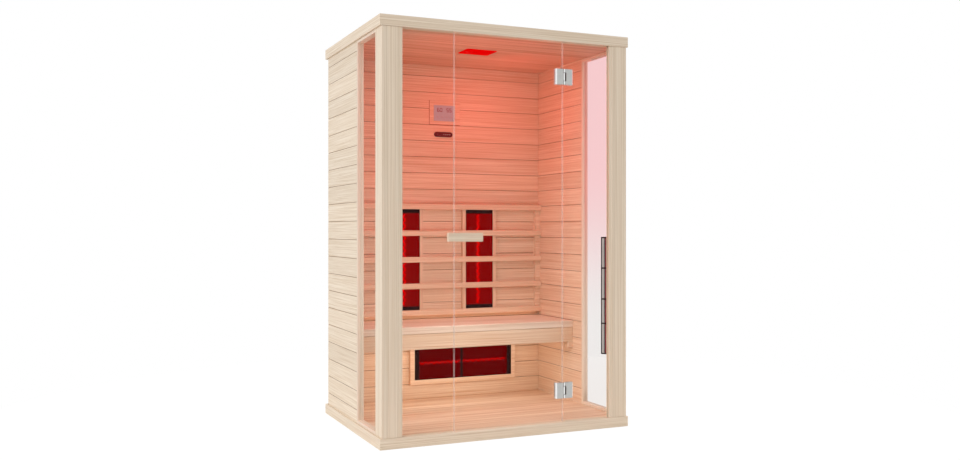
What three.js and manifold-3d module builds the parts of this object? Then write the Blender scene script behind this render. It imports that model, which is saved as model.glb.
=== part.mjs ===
// Infrared sauna cabin for two people: boarded walls, a glass front with a swing door,
// a bench with a backrest, heaters, a ceiling lamp and a keypad.
// Millimetres, +Z up. The front faces -Y and the origin is the middle of the underside.

import * as THREE from 'three';
import { mergeVertices } from 'three/addons/utils/BufferGeometryUtils.js';
import Module from 'manifold-3d';

// Overall size
const cabinWidth = 1300;
const cabinDepth = 950;
const cabinHeight = 1950;
const sideOverhang = 9.5; // base and roof past the side walls
const frontOverhang = 2.5;
const backOverhang = 24;
const fitGap = 0.3; // between pieces that meet
const overcut = 1; // cutters and joined pieces run this far past a face

// Base and roof
const baseHeight = 50;
const railWidth = 45;
const joistCount = 3;
const floorThickness = 12;
const ceilingThickness = 12;
const roofCavity = 26;
const coverThickness = 12;

// Boarded walls
const outerBoard = 15.85;
const innerBoard = 15.85;
const outerPitch = 91.5;
const outerFirstGroove = 62.5; // above the base
const innerPitch = 90;
const innerFirstGroove = 81;
const grooveWidth = 4;
const grooveDepth = 2.5;

// Front corner posts
const postFace = 82;
const postThickness = 26.5;
const postDepth = 95;
const beadWidth = 16.5;
const beadRecess = 2;

// Side windows
const windowOpening = 282.5;
const windowStile = 12;
const windowRail = 14;
const windowGlass = 6;
const windowSetback = 13;

// Front glass and door
const glassThickness = 8;
const glassSetback = 10;
const glassSeat = 6; // depth of glass held in a groove
const doorWidth = 570; // between the middles of the two seams
const doorShift = -1;
const seamGap = 6;
const doorClearance = 4;
const sealClearance = 0.6; // to the door's edge

// Door hinges
const hingeHeight = 76;
const upperHingeDrop = 171;
const lowerHingeRise = 153.5;
const pinOffset = 6; // pin past the seam, over the fixed pane
const pinRadius = 2.5;
const pinClearance = 0.1;
const leafReach = 48;
const leafThickness = 9;
const leafSetback = 7; // leaf edge to pin axis
const knuckleHeight = 38;
const knuckleGap = 1;
const clampThickness = 5;
const webLength = 12;
const webHeight = 40;
const roundSides = 24;

// Door handle
const handleLength = 173;
const handleHeight = 40;
const handleThickness = 21.5;
const handleOverlap = 37;
const handleRise = 900;
const innerHandleLength = 120;
const innerHandleInset = 15;
const studRadius = 4;
const studInset = 25;
const studSeat = 12;

// Bench
const seatHeight = 440;
const seatThickness = 36;
const benchDepth = 412.5;
const seatRearGap = 6;
const apronHeight = 79;
const apronThickness = 25;
const apronRecess = 3;
const cleatHeight = 31;
const cleatWidth = 30;

// Backrest
const slatCount = 5;
const slatHeight = 30;
const slatThickness = 18;
const slatSpacing = 146.5;
const firstSlat = 37;
const stileWidth = 20;
const endStileWidth = 30;
const stileThickness = 21;

// Heaters
const heaterWidth = 166;
const heaterLength = 576;
const heaterOffset = 221.7;
const heaterClearance = 2; // behind a heater tray in the wall
const endCap = 31;
const trayWall = 2;
const heaterGlass = 4;
const elementRadius = 5;
const elementSetback = 20;
const lowerHeaterLength = 589;
const lowerHeaterHeight = 174;
const lowerHeaterShift = 127;
const lowerHeaterRise = 105;
const lowerCap = 26;
const lowerStile = 26; // wood beside and below the heater
const dividerShift = -14.5;
const dividerWidth = 14;
const dividerThickness = 3;
const cornerHeaterWidth = 78;
const cornerHeaterDepth = 37;
const cornerHeaterLength = 587;
const cornerHeaterRise = 312;

// Lamp and power box in the roof
const lampWidth = 165;
const lampDepth = 126;
const lampShiftX = 7;
const lampShiftY = -62;
const lensThickness = 4;
const lampFlange = 6;
const lampWall = 3;
const cavityClearance = 3;
const powerBoxWidth = 260;
const powerBoxDepth = 160;
const powerBoxInset = 335; // middle of the box in from the left wall face
const inletRadius = 8;
const inletRecess = 1;

// Keypad and media player on the back wall
const keypadWidth = 124;
const keypadHeight = 87;
const keypadThickness = 14;
const keypadProud = 3;
const keypadShift = 15;
const keypadDrop = 262;
const displayWidth = 38;
const displayHeight = 26;
const displayRecess = 1;
const displayShift = 28;
const displayRise = 18;
const keyNames = ['time_down', 'time_up', 'heat_down', 'heat_up'];
const keyWidth = 20;
const keyHeight = 14;
const keyThickness = 3;
const keyProud = 1.2;
const keyTravel = 0.8;
const keySpacing = 28;
const keyDrop = 22;
const playerWidth = 110;
const playerHeight = 28;
const playerThickness = 6;
const playerShift = -6.5;
const playerDrop = 119.5;

// Planes and edges that several pieces share
const roofHeight = ceilingThickness + roofCavity + coverThickness;
const floorZ = baseHeight;
const ceilingZ = cabinHeight - roofHeight;
const roomHeight = ceilingZ - floorZ;
const railInnerX = cabinWidth / 2 - railWidth;
const railInnerY = cabinDepth / 2 - railWidth;
const wallThickness = outerBoard + fitGap + innerBoard;
const wallX = cabinWidth / 2 - sideOverhang;
const wallY = cabinDepth / 2 - backOverhang;
const frontY = frontOverhang - cabinDepth / 2;
const innerX = wallX - wallThickness;
const backY = wallY - wallThickness;
const heaterY = backY - stileThickness;
const powerBoxX = powerBoxInset - wallX;
const postInnerX = wallX - postFace - beadWidth;
const postBackY = frontY + postThickness;
const postRearY = frontY + postDepth;
const windowRearY = postRearY + windowOpening;
const stileRearY = windowRearY + windowStile;
const glassFrontY = frontY + glassSetback;
const glassBackY = glassFrontY + glassThickness;
const latchSeamX = doorShift - doorWidth / 2;
const hingeSeamX = doorShift + doorWidth / 2;
const pinX = hingeSeamX + pinOffset;
const pinY = glassFrontY - fitGap - leafThickness / 2;
const seatZ = floorZ + seatHeight;
const slatBottom = firstSlat - slatHeight / 2;
const slatTop = firstSlat + (slatCount - 1) * slatSpacing + slatHeight / 2;
const heaterCentre = firstSlat + ((slatCount - 1) * slatSpacing) / 2;
const trayDepth = stileThickness + innerBoard - heaterClearance;
const lowerHeaterCentre = lowerHeaterRise + lowerHeaterHeight / 2;

// Colours and finishes
const paleWood = { color: 0xeadcc3, roughness: 0.62, metalness: 0 };
const roomWood = { color: 0xdfa986, roughness: 0.62, metalness: 0 };
const clearGlass = { color: 0xdfe9e6, roughness: 0.05, metalness: 0 };
const redGlass = { color: 0x7a0a0c, roughness: 0.12, metalness: 0 };
const satinSteel = { color: 0xb9bbb9, roughness: 0.35, metalness: 1 };
const blackSteel = { color: 0x231516, roughness: 0.5, metalness: 0.3 };
const greySteel = { color: 0xa9aaa6, roughness: 0.4, metalness: 0.9 };
const glowingRod = { color: 0xd81818, roughness: 0.6, metalness: 0 };
const paleSeal = { color: 0xe6e0d8, roughness: 0.4, metalness: 0 };
const redLens = { color: 0xe00808, roughness: 0.3, metalness: 0 };
const padPlastic = { color: 0x9a8f98, roughness: 0.4, metalness: 0 };
const keyPlastic = { color: 0x8a7f88, roughness: 0.45, metalness: 0 };
const blackPlastic = { color: 0x2a1315, roughness: 0.35, metalness: 0 };

const wasm = await Module();
wasm.setup();

const cabin = new THREE.Group();

function addGroup(x, y, z) {
  const group = new THREE.Group();
  group.position.set(x, y, z);
  cabin.add(group);
  return group;
}

function addPart(group, name, geometry, finish) {
  const mesh = new THREE.Mesh(geometry, new THREE.MeshStandardMaterial(finish));
  mesh.name = name;
  group.add(mesh);
}

// Limits that lie evenly about a middle.
function about(middle, size) {
  return [middle - size / 2, middle + size / 2];
}

// Limits taken outward from the middle on the left (-1) or the right (1).
function outward(side, near, far) {
  return side < 0 ? [-far, -near] : [near, far];
}

function block([x0, x1], [y0, y1], [z0, z1]) {
  const geometry = new THREE.BoxGeometry(x1 - x0, y1 - y0, z1 - z0);
  return geometry.translate((x0 + x1) / 2, (y0 + y1) / 2, (z0 + z1) / 2);
}

function extrude(points, length) {
  const shape = new THREE.Shape(points.map(([a, b]) => new THREE.Vector2(a, b)));
  return new THREE.ExtrudeGeometry(shape, { depth: length, bevelEnabled: false });
}

// A bar along X whose end outline is given in Y and Z.
function barAlongX(points, [x0, x1]) {
  const turn = new THREE.Matrix4().makeBasis(
    new THREE.Vector3(0, 1, 0), new THREE.Vector3(0, 0, 1), new THREE.Vector3(1, 0, 0));
  return extrude(points, x1 - x0).applyMatrix4(turn).translate(x0, 0, 0);
}

// A bar along Y whose end outline is given in X and Z.
function barAlongY(points, [y0, y1]) {
  return extrude(points, y1 - y0).rotateX(Math.PI / 2).translate(0, y1, 0);
}

// An upright bar whose plan outline is given in X and Y.
function barAlongZ(points, [z0, z1]) {
  return extrude(points, z1 - z0).translate(0, 0, z0);
}

function rodAlongX(radius, [x0, x1], y, z) {
  const rod = new THREE.CylinderGeometry(radius, radius, x1 - x0, roundSides);
  return rod.rotateZ(Math.PI / 2).translate((x0 + x1) / 2, y, z);
}

function rodAlongY(radius, x, [y0, y1], z) {
  return new THREE.CylinderGeometry(radius, radius, y1 - y0, roundSides).translate(x, (y0 + y1) / 2, z);
}

function rodAlongZ(radius, x, y, [z0, z1]) {
  const rod = new THREE.CylinderGeometry(radius, radius, z1 - z0, roundSides);
  return rod.rotateX(Math.PI / 2).translate(x, y, (z0 + z1) / 2);
}

function solidOf(geometry) {
  const bare = geometry.clone();
  bare.deleteAttribute('normal');
  bare.deleteAttribute('uv');
  const merged = mergeVertices(bare);
  const vertProperties = new Float32Array(merged.attributes.position.array);
  const triVerts = new Uint32Array(merged.index.array);
  return new wasm.Manifold(new wasm.Mesh({ numProp: 3, vertProperties, triVerts }));
}

function geometryOf(solid) {
  const mesh = solid.getMesh();
  const geometry = new THREE.BufferGeometry();
  geometry.setAttribute('position', new THREE.BufferAttribute(mesh.vertProperties, 3));
  geometry.setIndex(new THREE.BufferAttribute(mesh.triVerts, 1));
  const flat = geometry.toNonIndexed();
  flat.computeVertexNormals();
  return flat;
}

function join(...pieces) {
  return geometryOf(pieces.map(solidOf).reduce((sum, piece) => sum.add(piece)));
}

function cut(body, ...tools) {
  return geometryOf(tools.map(solidOf).reduce((rest, tool) => rest.subtract(tool), solidOf(body)));
}

// Outline of a boarded panel as [depth, run]: its face at depth 0 has a V groove at each board joint.
function boardOutline(thickness, run, firstGroove, pitch) {
  const points = [[0, 0]];
  for (let joint = firstGroove; joint < run - grooveWidth; joint += pitch) {
    points.push([0, joint - grooveWidth / 2], [grooveDepth, joint], [0, joint + grooveWidth / 2]);
  }
  points.push([0, run], [thickness, run], [thickness, 0]);
  return points;
}

// Slots in the base and roof rails that hold the two fixed front panes.
function paneSlots(zRange) {
  const yRange = [glassFrontY - fitGap, glassBackY + fitGap];
  const edgeX = postInnerX + glassSeat + fitGap;
  const leftSlot = block([-edgeX, latchSeamX - seamGap / 2 + fitGap], yRange, zRange);
  const rightSlot = block([hingeSeamX + seamGap / 2 - fitGap, edgeX], yRange, zRange);
  return [leftSlot, rightSlot];
}

// Base: a plinth ring with joists that carry the floor panel between its rails.
function addBase() {
  const base = addGroup(0, 0, 0);
  const joistTop = baseHeight - floorThickness - fitGap;
  const plinth = block(about(0, cabinWidth), about(0, cabinDepth), [0, baseHeight]);
  const hollow = block(
    [-railInnerX, railInnerX], [-railInnerY, railInnerY], [-overcut, baseHeight + overcut]);
  const joists = [];
  for (let i = 1; i <= joistCount; i += 1) {
    const joistX = -railInnerX + (i * 2 * railInnerX) / (joistCount + 1);
    joists.push(block(about(joistX, railWidth), about(0, 2 * (railInnerY + overcut)), [0, joistTop]));
  }
  const slotFloor = baseHeight - glassSeat - fitGap;
  const frame = cut(plinth, hollow, ...paneSlots([slotFloor, baseHeight + overcut]));
  addPart(base, 'base_frame', join(frame, ...joists), paleWood);

  const floor = block(
    about(0, 2 * (railInnerX - fitGap)), about(0, 2 * (railInnerY - fitGap)),
    [baseHeight - floorThickness, baseHeight]);
  addPart(base, 'floor_panel', floor, roomWood);
}

// Roof: a cap with a hollow for the lamp and the power box, closed below by the ceiling panel.
function addRoof() {
  const roof = addGroup(0, 0, ceilingZ);
  const coverZ = ceilingThickness + roofCavity;
  const boxTop = coverZ - cavityClearance;
  const boxBottom = ceilingThickness + fitGap;
  const boxZ = (boxTop + boxBottom) / 2;
  const boxRear = railInnerY - fitGap;
  const inletEnd = cabinDepth / 2 - inletRecess;

  const cap = block(about(0, cabinWidth), about(0, cabinDepth), [0, roofHeight]);
  const hollow = block([-railInnerX, railInnerX], [-railInnerY, railInnerY], [-overcut, coverZ]);
  const inletHoleY = [boxRear - overcut, cabinDepth / 2 + overcut];
  const inletHole = rodAlongY(inletRadius + fitGap, powerBoxX, inletHoleY, boxZ);
  const capSlots = paneSlots([-overcut, glassSeat + fitGap]);
  addPart(roof, 'roof_cap', cut(cap, hollow, inletHole, ...capSlots), paleWood);

  const trayX = lampWidth - 2 * lampFlange;
  const trayY = lampDepth - 2 * lampFlange;
  const panel = block(
    about(0, 2 * (railInnerX - fitGap)), about(0, 2 * (railInnerY - fitGap)), [0, ceilingThickness]);
  const lampHole = block(
    about(lampShiftX, trayX + 2 * fitGap), about(lampShiftY, trayY + 2 * fitGap),
    [-overcut, ceilingThickness + overcut]);
  addPart(roof, 'ceiling_panel', cut(panel, lampHole), roomWood);

  const tray = block(about(lampShiftX, trayX), about(lampShiftY, trayY), [0, boxTop]);
  const trayRoom = block(
    about(lampShiftX, trayX - 2 * lampWall), about(lampShiftY, trayY - 2 * lampWall),
    [-overcut, boxTop - lampWall]);
  addPart(roof, 'lamp_housing', cut(tray, trayRoom), blackSteel);
  const lensZ = [-fitGap - lensThickness, -fitGap];
  const lens = block(about(lampShiftX, lampWidth), about(lampShiftY, lampDepth), lensZ);
  addPart(roof, 'lamp_lens', lens, redLens);

  const boxY = [boxRear - powerBoxDepth, boxRear];
  const box = block(about(powerBoxX, powerBoxWidth), boxY, [boxBottom, boxTop]);
  const inlet = rodAlongY(inletRadius, powerBoxX, [boxRear - overcut, inletEnd], boxZ);
  addPart(roof, 'power_box', join(box, inlet), blackSteel);
}

// Side walls: outer and inner boards back to back, cut off in front at the window.
function addSideWall(side, name) {
  const wall = addGroup(0, 0, floorZ);
  const height = roomHeight - 2 * fitGap;
  const outer = boardOutline(outerBoard, height, outerFirstGroove, outerPitch);
  const outerEnd = outer.map(([depth, run]) => [side * (wallX - depth), run + fitGap]);
  addPart(wall, `${name}_wall_outer`, barAlongY(outerEnd, [stileRearY + fitGap, wallY]), paleWood);
  const inner = boardOutline(innerBoard, height, innerFirstGroove, innerPitch);
  const innerEnd = inner.map(([depth, run]) => [side * (innerX + depth), run + fitGap]);
  addPart(wall, `${name}_wall_inner`, barAlongY(innerEnd, [stileRearY + fitGap, wallY]), roomWood);
}

// Back wall: outer boards, and inner boards with holes for the heaters and the keypad. The inner
// boards carry the backrest's end stiles and the wood around the lower heater.
function addBackWall() {
  const wall = addGroup(0, 0, floorZ);
  const height = roomHeight - 2 * fitGap;
  const halfWidth = innerX - fitGap;
  const outer = boardOutline(outerBoard, height, outerFirstGroove, outerPitch);
  const outerEnd = outer.map(([depth, run]) => [wallY - depth, run + fitGap]);
  addPart(wall, 'back_wall_outer', barAlongX(outerEnd, [-halfWidth, halfWidth]), paleWood);

  const inner = boardOutline(innerBoard, height, innerFirstGroove, innerPitch);
  const innerEnd = inner.map(([depth, run]) => [backY + depth, run + fitGap]);
  const through = [heaterY - overcut, backY + innerBoard + overcut];
  const holes = [-1, 1].map((side) => block(
    about(side * heaterOffset, heaterWidth + 2 * fitGap), through,
    about(seatHeight + heaterCentre, heaterLength + 2 * fitGap)));
  holes.push(block(
    about(lowerHeaterShift, lowerHeaterLength + 2 * fitGap), through,
    about(lowerHeaterCentre, lowerHeaterHeight + 2 * fitGap)));
  holes.push(block(
    about(keypadShift, keypadWidth + 2 * fitGap), through,
    about(roomHeight - keypadDrop, keypadHeight + 2 * fitGap)));
  const proud = [heaterY, backY + grooveDepth];
  const endStiles = [-1, 1].map((side) => block(
    outward(side, halfWidth - endStileWidth, halfWidth), proud,
    [seatHeight + slatBottom, seatHeight + slatTop]));
  const lowerSurround = block(
    about(lowerHeaterShift, lowerHeaterLength + 2 * lowerStile), proud,
    about(lowerHeaterCentre, lowerHeaterHeight + 2 * lowerStile));
  const boards = join(barAlongX(innerEnd, [-halfWidth, halfWidth]), ...endStiles, lowerSurround);
  addPart(wall, 'back_wall_inner', cut(boards, ...holes), roomWood);
}

// Front corner post: an L in plan, with a lower bead that holds the edge of the fixed front pane.
function addPost(side, name) {
  const post = addGroup(0, 0, floorZ);
  const plan = [
    [wallX, frontY], [wallX, postRearY], [innerX, postRearY], [innerX, postBackY],
    [postInnerX, postBackY], [postInnerX, frontY + beadRecess],
    [wallX - postFace, frontY + beadRecess], [wallX - postFace, frontY],
  ].map(([x, y]) => [side * x, y]);
  const paneSlot = block(
    outward(side, postInnerX - overcut, postInnerX + glassSeat + fitGap),
    [glassFrontY - fitGap, glassBackY + fitGap], [0, roomHeight]);
  const windowSlot = block(
    outward(side, wallX - windowSetback - windowGlass - fitGap, wallX - windowSetback + fitGap),
    [postRearY - glassSeat - fitGap, postRearY + overcut],
    [windowRail - glassSeat - fitGap, roomHeight - windowRail + glassSeat + fitGap]);
  const body = barAlongZ(plan, [fitGap, roomHeight - fitGap]);
  addPart(post, `front_${name}_post`, cut(body, paneSlot, windowSlot), paleWood);
}

// Side window: a stile and two thin rails, grooved for a pane that also enters the post.
function addWindow(side, name) {
  const frame = addGroup(0, 0, floorZ);
  const railX = outward(side, innerX, wallX);
  const stile = block(railX, [windowRearY, stileRearY], [fitGap, roomHeight - fitGap]);
  const railY = [postRearY + fitGap, windowRearY + overcut];
  const sill = block(railX, railY, [fitGap, windowRail]);
  const head = block(railX, railY, [roomHeight - windowRail, roomHeight - fitGap]);
  const paneBottom = windowRail - glassSeat;
  const paneTop = roomHeight - windowRail + glassSeat;
  const glassOuter = wallX - windowSetback;
  const slot = block(
    outward(side, glassOuter - windowGlass - fitGap, glassOuter + fitGap),
    [postRearY - overcut, windowRearY + glassSeat + fitGap], [paneBottom - fitGap, paneTop + fitGap]);
  addPart(frame, `${name}_window_frame`, cut(join(stile, sill, head), slot), paleWood);
  const pane = block(
    outward(side, glassOuter - windowGlass, glassOuter),
    [postRearY - glassSeat, windowRearY + glassSeat], [paneBottom, paneTop]);
  addPart(frame, `${name}_window_pane`, pane, clearGlass);
}

// Heights of the two hinges above the floor.
const hingeHeights = { upper: roomHeight - upperHingeDrop, lower: lowerHingeRise };

// How far from the pin a leaf's web starts: inside its pane's edge, and under its plate.
function webStart(side) {
  const paneEdge = side < 0 ? pinOffset + seamGap / 2 : seamGap / 2 - pinOffset;
  return Math.max(leafSetback, paneEdge);
}

// Cut-outs in a pane's edge for the hinge webs.
function hingeNotches(side, edgeX) {
  const far = pinX + side * (webStart(side) + webLength + fitGap);
  const near = edgeX - side * overcut;
  return Object.values(hingeHeights).map((height) => block(
    [Math.min(near, far), Math.max(near, far)], [glassFrontY - overcut, glassBackY + overcut],
    about(height, webHeight + 2 * fitGap)));
}

// Fixed front panes, held in the posts, the base and the roof, with a seal strip in each seam.
function addFrontGlass() {
  const front = addGroup(0, 0, floorZ);
  const paneY = [glassFrontY, glassBackY];
  const paneZ = [-glassSeat, roomHeight + glassSeat];
  const outerEdge = postInnerX + glassSeat;
  const leftEdge = latchSeamX - seamGap / 2;
  const rightEdge = hingeSeamX + seamGap / 2;
  addPart(front, 'left_front_pane', block([-outerEdge, leftEdge], paneY, paneZ), clearGlass);
  const rightPane = block([rightEdge, outerEdge], paneY, paneZ);
  addPart(front, 'right_front_pane', cut(rightPane, ...hingeNotches(1, rightEdge)), clearGlass);
  const sealZ = [fitGap, roomHeight - fitGap];
  const latchSealX = [leftEdge + fitGap, latchSeamX + seamGap / 2 - sealClearance];
  const hingeSealX = [hingeSeamX - seamGap / 2 + sealClearance, rightEdge - fitGap];
  addPart(front, 'latch_seal', block(latchSealX, paneY, sealZ), paleSeal);
  addPart(front, 'hinge_seal', block(hingeSealX, paneY, sealZ), paleSeal);
}

// Door: one pane with a wooden handle on each face, joined by two studs through the glass.
function addDoor() {
  const door = addGroup(0, 0, floorZ);
  const latchEdge = latchSeamX + seamGap / 2;
  const hingeEdge = hingeSeamX - seamGap / 2;
  const handleX = latchSeamX - handleOverlap;
  const innerHandleX = latchEdge + innerHandleInset;
  const outerFace = glassFrontY - fitGap;
  const innerFace = glassBackY + fitGap;
  const studXs = [innerHandleX + studInset, innerHandleX + innerHandleLength - studInset];
  const studY = [outerFace - studSeat, innerFace + overcut];
  const studs = studXs.map((x) => rodAlongY(studRadius, x, studY, handleRise));
  const holeY = [outerFace - studSeat - fitGap, innerFace + overcut];
  const studHoles = studXs.map((x) => rodAlongY(studRadius + fitGap, x, holeY, handleRise));

  const paneZ = [doorClearance, roomHeight - doorClearance];
  const pane = block([latchEdge, hingeEdge], [glassFrontY, glassBackY], paneZ);
  addPart(door, 'door_pane', cut(pane, ...hingeNotches(-1, hingeEdge), ...studHoles), clearGlass);

  const handleZ = about(handleRise, handleHeight);
  const outerHandle = block(
    [handleX, handleX + handleLength], [outerFace - handleThickness, outerFace], handleZ);
  addPart(door, 'outer_handle', cut(outerHandle, ...studHoles), paleWood);
  const innerHandle = block(
    [innerHandleX, innerHandleX + innerHandleLength], [innerFace, innerFace + handleThickness], handleZ);
  addPart(door, 'inner_handle', join(innerHandle, ...studs), paleWood);
}

// Hinge leaf: a plate in front of the glass, a clamp plate behind it, a web between them in the
// glass edge, and the knuckles on the given height ranges. The pin axis is at the local origin.
function hingeLeaf(side, knuckles) {
  const half = leafThickness / 2;
  const plateZ = about(0, hingeHeight);
  const clampFront = half + fitGap + glassThickness + fitGap;
  const clampBack = clampFront + clampThickness;
  const webNear = webStart(side);
  const pieces = [
    block(outward(side, leafSetback, leafReach), [-half, half], plateZ),
    block(outward(side, webNear, leafReach), [clampFront, clampBack], plateZ),
    block(outward(side, webNear, webNear + webLength), [0, clampBack], about(0, webHeight)),
  ];
  knuckles.forEach((zRange) => {
    pieces.push(block(outward(side, 0, leafSetback + overcut), [-half, half], zRange));
    pieces.push(rodAlongZ(half, 0, 0, zRange));
  });
  const pinHole = rodAlongZ(pinRadius + pinClearance, 0, 0, about(0, hingeHeight + 2 * overcut));
  return cut(join(...pieces), pinHole);
}

function addHinge(name, height) {
  const hinge = addGroup(pinX, pinY, floorZ + height);
  const middle = knuckleHeight / 2;
  const end = hingeHeight / 2;
  const fixedKnuckles = [[middle + knuckleGap, end], [-end, -middle - knuckleGap]];
  addPart(hinge, `${name}_hinge_fixed_leaf`, hingeLeaf(1, fixedKnuckles), satinSteel);
  addPart(hinge, `${name}_hinge_door_leaf`, hingeLeaf(-1, [[-middle, middle]]), satinSteel);
  addPart(hinge, `${name}_hinge_pin`, rodAlongZ(pinRadius, 0, 0, about(0, hingeHeight)), satinSteel);
}

// Bench: the seat rests on wall cleats, and its apron stands on the cleats' front ends.
function addBench() {
  const bench = addGroup(0, backY - benchDepth, floorZ);
  const halfWidth = innerX - fitGap;
  const seatUnderside = seatHeight - seatThickness;
  const apronTop = seatUnderside - fitGap;
  const apronBottom = apronTop - apronHeight;
  const apronRear = apronRecess + apronThickness;
  const cleatTop = apronBottom - fitGap;
  const cleatRear = benchDepth - fitGap;
  const seatY = [0, benchDepth - seatRearGap];
  const seat = block([-halfWidth, halfWidth], seatY, [seatUnderside, seatHeight]);
  addPart(bench, 'bench_seat', seat, roomWood);
  const apron = block([-halfWidth, halfWidth], [apronRecess, apronRear], [apronBottom, apronTop]);
  addPart(bench, 'bench_apron', apron, roomWood);
  const cleatSide = [
    [apronRecess, cleatTop - cleatHeight], [cleatRear, cleatTop - cleatHeight],
    [cleatRear, seatUnderside - fitGap], [apronRear + fitGap, seatUnderside - fitGap],
    [apronRear + fitGap, cleatTop], [apronRecess, cleatTop],
  ];
  const cleatX = (side) => outward(side, halfWidth - cleatWidth, halfWidth);
  addPart(bench, 'bench_left_cleat', barAlongX(cleatSide, cleatX(-1)), roomWood);
  addPart(bench, 'bench_right_cleat', barAlongX(cleatSide, cleatX(1)), roomWood);
}

// Backrest: slats from wall to wall over a surround at each heater and the wall's end stiles.
function addBackrest() {
  const backrest = addGroup(0, backY, seatZ);
  const halfWidth = innerX - fitGap;
  const slatY = [-stileThickness - fitGap - slatThickness, -stileThickness - fitGap];
  for (let i = 0; i < slatCount; i += 1) {
    const slat = block([-halfWidth, halfWidth], slatY, about(firstSlat + i * slatSpacing, slatHeight));
    addPart(backrest, `backrest_slat_${i + 1}`, slat, roomWood);
  }
  for (const [side, name] of [[-1, 'left'], [1, 'right']]) {
    const middleX = side * heaterOffset;
    const board = block(
      about(middleX, heaterWidth + 2 * stileWidth), [-stileThickness, -fitGap], [slatBottom, slatTop]);
    const opening = block(
      about(middleX, heaterWidth + 2 * fitGap), [-stileThickness - overcut, overcut],
      about(heaterCentre, heaterLength + 2 * fitGap));
    addPart(backrest, `${name}_heater_surround`, cut(board, opening), roomWood);
  }
}

// Heater tray as a box that is open in front, between solid end caps. Its face is at Y 0 and it
// runs along Z; pocketX and pocketZ are the limits of the room inside it.
function heaterTray(xRange, zRange, pocketX, pocketZ, depth) {
  return cut(block(xRange, [0, depth], zRange), block(pocketX, [-overcut, depth - trayWall], pocketZ));
}

function shrink([low, high], margin) {
  return [low + margin, high - margin];
}

function addBackHeater(side, name) {
  const heater = addGroup(side * heaterOffset, heaterY, seatZ + heaterCentre);
  const bodyX = about(0, heaterWidth);
  const bodyZ = about(0, heaterLength);
  const pocketX = shrink(bodyX, trayWall);
  const pocketZ = shrink(bodyZ, endCap);
  const tray = heaterTray(bodyX, bodyZ, pocketX, pocketZ, trayDepth);
  addPart(heater, `${name}_heater_housing`, tray, blackSteel);
  const rod = rodAlongZ(elementRadius, 0, elementSetback, shrink(pocketZ, fitGap));
  addPart(heater, `${name}_heater_element`, rod, glowingRod);
  const pane = block(shrink(pocketX, fitGap), [0, heaterGlass], shrink(pocketZ, fitGap));
  addPart(heater, `${name}_heater_glass`, pane, redGlass);
}

// Heater under the bench: it lies along X, with a divider bar across the front of its glass.
function addLowerHeater() {
  const heater = addGroup(lowerHeaterShift, heaterY, floorZ + lowerHeaterCentre);
  const bodyX = about(0, lowerHeaterLength);
  const bodyZ = about(0, lowerHeaterHeight);
  const pocketX = shrink(bodyX, lowerCap);
  const pocketZ = shrink(bodyZ, trayWall);
  const bar = block(about(dividerShift, dividerWidth), [0, dividerThickness], bodyZ);
  const tray = heaterTray(bodyX, bodyZ, pocketX, pocketZ, trayDepth);
  addPart(heater, 'lower_heater_housing', join(tray, bar), blackSteel);
  const rod = rodAlongX(elementRadius, shrink(pocketX, fitGap), elementSetback, 0);
  addPart(heater, 'lower_heater_element', rod, glowingRod);
  const glassFront = dividerThickness + fitGap;
  const paneY = [glassFront, glassFront + heaterGlass];
  const pane = block(shrink(pocketX, fitGap), paneY, shrink(pocketZ, fitGap));
  addPart(heater, 'lower_heater_glass', pane, redGlass);
}

// Heater in the front right corner, set across the inside of the post and facing the bench.
function addCornerHeater() {
  const heater = addGroup(innerX, postBackY, floorZ + cornerHeaterRise);
  heater.rotation.z = Math.PI / 4;
  const backFace = cornerHeaterWidth / 2 + 2 * fitGap;
  const frontFace = backFace + cornerHeaterDepth;
  const bodyX = about(0, cornerHeaterWidth);
  const bodyZ = [0, cornerHeaterLength];
  const pocketX = shrink(bodyX, trayWall);
  const pocketZ = shrink(bodyZ, endCap);
  const housing = cut(
    block(bodyX, [backFace, frontFace], bodyZ),
    block(pocketX, [backFace + trayWall, frontFace + overcut], pocketZ));
  addPart(heater, 'corner_heater_housing', housing, greySteel);
  const paneY = [frontFace - heaterGlass, frontFace];
  const pane = block(shrink(pocketX, fitGap), paneY, shrink(pocketZ, fitGap));
  addPart(heater, 'corner_heater_glass', pane, redGlass);
}

// Keypad: a panel let into the back wall, with two display recesses and a row of spring keys.
function addKeypad() {
  const keypad = addGroup(keypadShift, backY, ceilingZ - keypadDrop);
  const face = -keypadProud;
  const pocketFloor = face + keyThickness - keyProud + keyTravel + fitGap;
  const body = block(about(0, keypadWidth), [face, face + keypadThickness], about(0, keypadHeight));
  const displays = [-1, 1].map((side) => block(
    about(side * displayShift, displayWidth), [face - overcut, face + displayRecess],
    about(displayRise, displayHeight)));
  const keyXs = keyNames.map((name, i) => (i - (keyNames.length - 1) / 2) * keySpacing);
  const pockets = keyXs.map((x) => block(
    about(x, keyWidth + 2 * fitGap), [face - overcut, pocketFloor],
    about(-keyDrop, keyHeight + 2 * fitGap)));
  addPart(keypad, 'keypad_panel', cut(body, ...displays, ...pockets), padPlastic);
  keyNames.forEach((name, i) => {
    const keyY = [face - keyProud, face - keyProud + keyThickness];
    const key = block(about(keyXs[i], keyWidth), keyY, about(-keyDrop, keyHeight));
    addPart(keypad, `${name}_key`, key, keyPlastic);
  });
}

// Media player: a flat pill with round ends, fixed on the boards below the keypad.
function addMediaPlayer() {
  const player = addGroup(keypadShift + playerShift, backY, ceilingZ - keypadDrop - playerDrop);
  const radius = playerHeight / 2;
  const endX = playerWidth / 2 - radius;
  const outline = new THREE.Shape();
  outline.absarc(endX, 0, radius, -Math.PI / 2, Math.PI / 2);
  outline.absarc(-endX, 0, radius, Math.PI / 2, Math.PI * 1.5);
  const points = outline.getPoints(roundSides / 4).map((point) => [point.x, point.y]);
  addPart(player, 'media_player', barAlongY(points, [-fitGap - playerThickness, -fitGap]), blackPlastic);
}

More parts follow.
